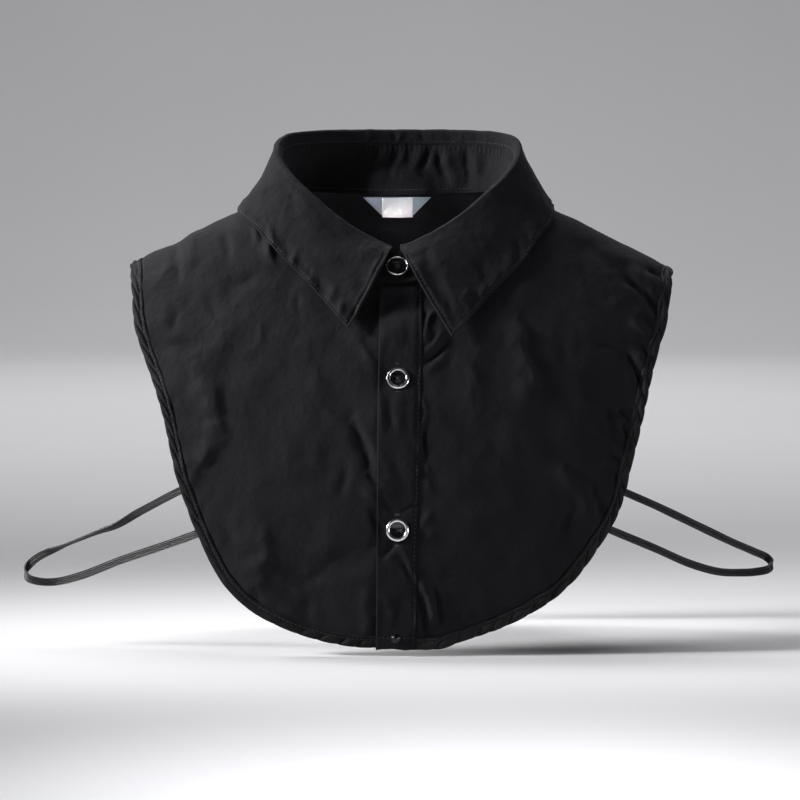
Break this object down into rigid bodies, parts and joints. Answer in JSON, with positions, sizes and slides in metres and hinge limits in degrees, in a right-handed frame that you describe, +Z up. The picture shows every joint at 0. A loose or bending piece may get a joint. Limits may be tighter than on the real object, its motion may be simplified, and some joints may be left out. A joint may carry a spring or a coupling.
{
  "type": "detachable shirt collar",
  "caption": "Detachable shirt collar: a turned-down collar on a stand, with a bound bib front and back, a buttoned front band and elastic side loops.",
  "frame": {"origin": "middle of the neck opening, on the wearer's centre line, at the height where the neck seam crosses between its low front and its high back", "axes": "+Z up, the front faces -Y, +X towards the wearer's left"},
  "size_m": [0.4533, 0.2143, 0.3113],
  "materials": {
    "cloth": "black plain-weave cotton shirting, matt with a faint sheen",
    "collar_cloth": "black plain-weave cotton shirting over interlining, edge stitched",
    "binding_cloth": "black bias binding with a soft sheen, twin-stitched",
    "elastic": "black ribbed elastic tape",
    "button_metal": "bright polished metal",
    "button_gloss": "black, high gloss",
    "snap_metal": "dark nickel, polished",
    "label_grey": "woven label, satin",
    "label_white": "woven label, satin, bare"
  },
  "bodies": {
    "root": {"front_left": "cloth", "front_right": "cloth", "back": "cloth", "front_band": "cloth", "collar_stand": "collar_cloth", "collar_leaf": "collar_cloth", "binding_left": "binding_cloth", "binding_right": "binding_cloth", "binding_back": "binding_cloth", "loop_left": "elastic", "loop_right": "elastic", "button_neck_rim": "button_metal", "button_middle_rim": "button_metal", "button_lower_rim": "button_metal", "button_neck_eye": "button_gloss", "button_middle_eye": "button_gloss", "button_lower_eye": "button_gloss", "snap": "snap_metal", "label_base": "label_grey", "label_tab": "label_white"}
  },
  "joints": []
}
